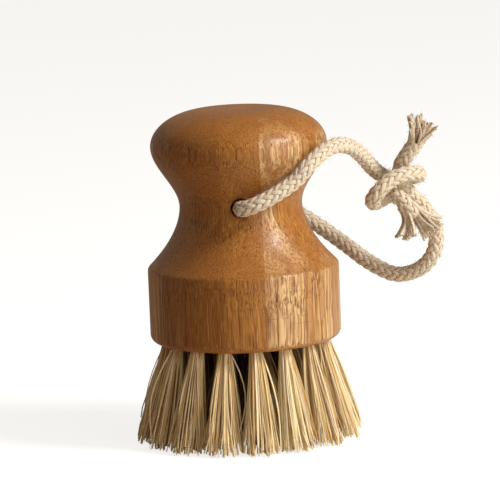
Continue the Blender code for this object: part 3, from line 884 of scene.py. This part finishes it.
drills.append(lathe("bore_drill", bore_points, BORE_STEPS,
                    Matrix.Translation((0, 0, BORE_LEVEL)) @ Matrix.Rotation(math.pi / 2, 4, "X")))
block = drilled(block, drills)
block.data.shade_smooth()
block.data.set_sharp_from_angle(angle=SHARP_BLOCK_EDGE)
block.data.materials.clear()
block.data.materials.append(bamboo)
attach(block, "brush")
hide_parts("handle_block")
print("block", len(block.data.polygons), "faces")

# %% [markdown]
# ## Plant fibre
# The bristles are stiff leaf fibres, each a slightly different straw colour. A tone stored on each fibre
# picks its colour, and fine lines run along it. Each fibre is painted browner where it leaves the block:
# painted shade under the block. Little light gets in among the tufts, so the colour is also painted darker
# towards the brush's middle, close under the block.

# %% Fibre finish
STRAW_STOPS = ((0.0, (0.24, 0.080, 0.012)), (0.13, (0.76, 0.44, 0.120)),
               (0.24, (0.92, 0.73, 0.370)), (0.80, (0.91, 0.80, 0.575)))
RIPE_PATCH = (0.78, 0.50, 0.20)
PALE_LINE = (0.94, 0.83, 0.58)
# Painted shade: the brown that fibres take near the root, under the block
ROOT_SHADE = (0.42, 0.18, 0.040)
BRUSH_DEPTHS = (0.16, 0.055, 0.010)


def fibre_finish():
    made, spot = begin("plant_fibre")
    along, round_it, tone = spot.stored("along"), spot.stored("round"), spot.stored("tone")
    lines = spot.node("CombineXYZ", (), {0: round_it * 9, 1: along * 0.25, 2: tone * 40}).noise(1.0, 3.0, 0.6)
    patch = spot.node("CombineXYZ", (), {0: tone * 60, 1: along * 0.13, 2: 0.0}).noise(1.0, 1.0)
    _, _, level = spot.parts()
    from_axis = spot.vector("MULTIPLY", (1, 1, 0)).length()
    deep = from_axis.fade(20.5, 15.5) * level.fade(8.0, 22.0)
    # The brown near the root and the darkening deep in the brush are painted shade
    shade = layered(
        tone.node("ValToRGB", {"stops": STRAW_STOPS}, {0: tone}),
        (patch.fade(0.45, 0.75) * 0.4, RIPE_PATCH), (lines.fade(0.35, 0.70) * 0.30, PALE_LINE),
        (along.fade(10.0, 2.0) * 0.42, ROOT_SHADE), (deep * 0.80, BRUSH_DEPTHS))
    return close(made, Base_Color=shade, Roughness=0.52, Specular_IOR_Level=0.4,
                 Normal=bumped(lines, 0.00004))


fibre = fibre_finish()
print("fibre made")

# %% [markdown]
# ## Tufts
# Each hole holds a bunch of fibres. They leave it packed together and fan out to a wider patch of tips,
# trimmed level but never quite even. A tuft's inner fibres, and the inner tufts, are given darker tones:
# painted shade, as little light reaches in among them. Each fibre bows a little its own way, and a few
# stray. Blender could grow hair on the block instead, but here each root and tip is worked out, so that
# every fan keeps to its own solid in the CAD model. All of it is seeded, so the brush comes out the same
# each time.

# %% Plant the tufts
FIBRES_PER_TUFT = 130
WHISKERS_PER_TUFT = 5
CLUMPS_PER_TUFT = 7
CLUMP_RING_SHARE = 0.62
FIBRE_STEPS = 9
FIBRE_SIDES = 5
FIBRE_WIDTHS = (0.00036, 0.00064)
WHISKER_WIDTH = 0.00017
ROOT_DEPTH = 0.004
ROOT_CLEARANCE = 0.00045
BOW = 0.00050
STRAY_BOW = 0.0012
STRAY_SHARE = 0.08
SPREAD_CLEARANCE = 0.0001
TRIM_UNEVENNESS = 0.0007
SHORT_FIBRE_SHARE = 0.10
SHORT_FIBRE_CUT = 0.003
SPLAY_RADIUS = 0.0275
SPLAY_LIFT = 90
OUTER_RING_FROM = 0.02
INNER_TUFT_SHADE_SHARE = 0.6


def on_disc(turn, share):
    """Points of the unit disc at these angles and shares of its radius."""
    return np.stack([share * np.cos(turn), share * np.sin(turn)], axis=1)


def tuft(place, seed):
    """One tuft's fibres, first laid out flat as seen from above, then drawn down from the block."""
    name, angle, hole_at, tip_at, spread = place
    rng = np.random.default_rng(seed)
    count = FIBRES_PER_TUFT
    turn, share = even_disc(count)
    turn = turn + rng.normal(0, 0.25, count)
    disc = on_disc(turn, share)
    tip_disc = on_disc(turn + rng.normal(0, 0.22, count), share)
    clump_turn = math.tau * (np.arange(CLUMPS_PER_TUFT) + rng.random()) / CLUMPS_PER_TUFT
    clumps = on_disc(clump_turn, 1.0) * CLUMP_RING_SHARE
    nearest = clumps[np.argmin(np.linalg.norm(disc[:, None] - clumps, axis=2), axis=1)]
    tip_disc = tip_disc * rng.uniform(0.78, 1.06, (count, 1)) + rng.normal(0, 0.10, (count, 2))
    tip_disc += (nearest - tip_disc) * rng.uniform(0.0, 0.5, (count, 1))
    roots = disc * (HOLE_RADIUS - ROOT_CLEARANCE) + (hole_at, 0)
    tips = tip_disc * spread * (0.92, 1.08) + (tip_at, 0)
    t = np.linspace(0, 1, FIBRE_STEPS)
    flat = roots[:, None] + (tips - roots)[:, None] * (t ** 1.1)[None, :, None]
    bow = rng.normal(0, BOW, (count, 2))
    bow = bow + (rng.random((count, 1)) < STRAY_SHARE) * rng.normal(0, STRAY_BOW, (count, 2))
    flat = flat + bow[:, None] * np.sin(t * math.pi)[None, :, None]
    reach = np.linalg.norm(flat, axis=2, keepdims=True)
    flat *= np.minimum(1, (BRISTLE_SPREAD_RADIUS - SPREAD_CLEARANCE) / reach)

    # The ends are cut level, but the fibres that lean out the most end a little higher
    cut = np.abs(rng.normal(0, TRIM_UNEVENNESS, count))
    cut = cut + (rng.random(count) < SHORT_FIBRE_SHARE) * rng.uniform(0, SHORT_FIBRE_CUT, count)
    cut += SPLAY_LIFT * np.maximum(0, np.linalg.norm(flat[:, -1], axis=1) - SPLAY_RADIUS) ** 2
    width = rng.uniform(*FIBRE_WIDTHS, count)
    # Painted shade: fibres in a tuft's middle, and whole inner tufts, get darker tones
    tones = rng.random(count) * (0.4 + 0.6 * share)
    if hole_at < OUTER_RING_FROM:
        tones *= INNER_TUFT_SHADE_SHARE
    cut[:WHISKERS_PER_TUFT] = 0
    width[:WHISKERS_PER_TUFT] = WHISKER_WIDTH
    tones[:WHISKERS_PER_TUFT] = np.linspace(0, 0.9, WHISKERS_PER_TUFT)
    order = rng.permutation(count)
    cut, width, tones = cut[order], width[order], tones[order]

    level = BRISTLE_LENGTH + (cut[:, None] + width[:, None] * 0.3 - BRISTLE_LENGTH) * t[None]
    ways = np.concatenate([flat, level[..., None]], axis=2)
    ways = np.concatenate([ways[:, :1] + (0, 0, ROOT_DEPTH), ways], axis=1)
    cos, sin = math.cos(angle), math.sin(angle)
    ways = ways @ np.array([[cos, sin, 0], [-sin, cos, 0], [0, 0, 1]])
    size = width[:, None] * np.linspace(1.0, 0.8, FIBRE_STEPS + 1)
    made = tubes(name + "_fibres", ways, size, size * rng.uniform(0.6, 0.95, (count, 1)), FIBRE_SIDES,
                 fibre, tones=tones)
    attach(made, "brush")
    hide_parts(name)
    return made


FIRST_TUFT_SEED = 100
tufts = [tuft(place, FIRST_TUFT_SEED + i) for i, place in enumerate(tuft_places())]
print("tufts", len(tufts), "with", len(tufts) * FIBRES_PER_TUFT, "fibres")

# %% [markdown]
# ## Wire anchors
# Deep in each hole a flat piece of steel wire holds the fold of its tuft. They hardly show, but they are
# there, so the CAD solids keep their shape and get a drawn-steel finish.

# %% Steel finish
def steel_finish():
    made, spot = begin("anchor_steel")
    drawn = spot.grained(3.0, 14.0, 2.0)
    shade = drawn.blend((0.42, 0.42, 0.43), (0.62, 0.61, 0.60))
    return close(made, Base_Color=shade, Metallic=1.0, Roughness=drawn * 0.2 + 0.28)


anchor_steel = steel_finish()
anchors = [node for name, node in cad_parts.items() if name.startswith("wire_anchor")]
for node in anchors:
    for slot in node.material_slots:
        slot.material = anchor_steel
print(len(anchors), "anchors finished")

# %% [markdown]
# ## Floor
# The floor is a wide plain sheet that runs on past the view. To the camera, and a little to reflections, it
# adds some light of its own, so that it stays near white without extra light on the brush, and it still
# takes the brush's shadow. What it throws back onto the brush is set apart from that with the Light Path
# node: a good deal on the right, less and warmer on the left, so that the block shades off into brown.

# %% Floor
FLOOR_REACH = 6.0
SEEN_FLOOR = (0.44, 0.436, 0.43)
FLOOR_GLOW = (0.805, 0.800, 0.790)
LEFT_BOUNCE, RIGHT_BOUNCE = (0.40, 0.24, 0.12), (0.96, 0.94, 0.90)
LEFT_MM, RIGHT_MM = -70, 30


def floor_finish():
    made, spot = begin("studio_floor")
    to_camera = spot.node("LightPath", (), (), "Is Camera Ray")
    seen = to_camera.math("MAXIMUM", to_camera.beside("Is Glossy Ray") * 0.2)
    place, _, _ = spot.parts()
    thrown_back = place.fade(LEFT_MM, RIGHT_MM).blend(LEFT_BOUNCE, RIGHT_BOUNCE)
    return close(made, Base_Color=to_camera.blend(thrown_back, SEEN_FLOOR), Roughness=1.0,
                 Specular_IOR_Level=0.0, Emission_Color=seen.blend((0.0, 0.0, 0.0), FLOOR_GLOW),
                 Emission_Strength=1.0)


bm = bmesh.new()
bmesh.ops.create_grid(bm, x_segments=1, y_segments=1, size=FLOOR_REACH)
floor_mesh = bpy.data.meshes.new("floor")
bm.to_mesh(floor_mesh)
bm.free()
floor = linked("floor", floor_mesh)
floor.data.materials.append(floor_finish())
print("floor laid")

# %% [markdown]
# ## Lights and background
# A small key lamp stands high on the right, a little in front, and throws the shadow to the left. A broad,
# soft fill stands low at the right front and opens the shade under the knob and among the bristles.
# Nothing stands on the left, so the round block shades off towards that side. The world is near white to
# the camera, and lights the brush far less than it seems to.

# %% Lights
LAMPS_AIM = Vector((0, 0, 0.05))


def lamp(name, direction, distance, size, power, colour):
    """A square soft lamp that looks at the brush from this direction."""
    data = bpy.data.lights.new(name, "AREA")
    data.size = size
    data.energy = power
    data.color = colour
    made = linked(name, data)
    way = Vector(direction).normalized()
    made.location = LAMPS_AIM + way * distance
    made.rotation_euler = way.to_track_quat("Z", "Y").to_euler()
    return made


lamp("key", (0.70, -0.32, 0.64), distance=0.9, size=0.20, power=6.0, colour=(1.0, 0.975, 0.94))
lamp("fill", (0.70, -0.69, 0.04), distance=1.2, size=0.9, power=8.0, colour=(1.0, 0.97, 0.925))

SEEN_SKY = (0.94, 0.931, 0.917)
REFLECTED_SKY = (1.0, 0.99, 0.975)
SKY_LIGHT = (0.23, 0.203, 0.172)
world = bpy.data.worlds.new("studio")
bpy.context.scene.world = world
world.use_nodes = True
tree = world.node_tree
background = tree.nodes["Background"]
to_camera = Wire(tree).node("LightPath", (), (), "Is Camera Ray")
seen = to_camera.math("MAXIMUM", to_camera.beside("Is Transmission Ray"))
sky = (to_camera.beside("Is Glossy Ray") * 0.10).blend(SKY_LIGHT, REFLECTED_SKY)
tree.links.new(seen.blend(sky, SEEN_SKY).socket, background.inputs["Color"])
background.inputs["Strength"].default_value = 1.0
print("lit")

# %% Finish
print("scene built")
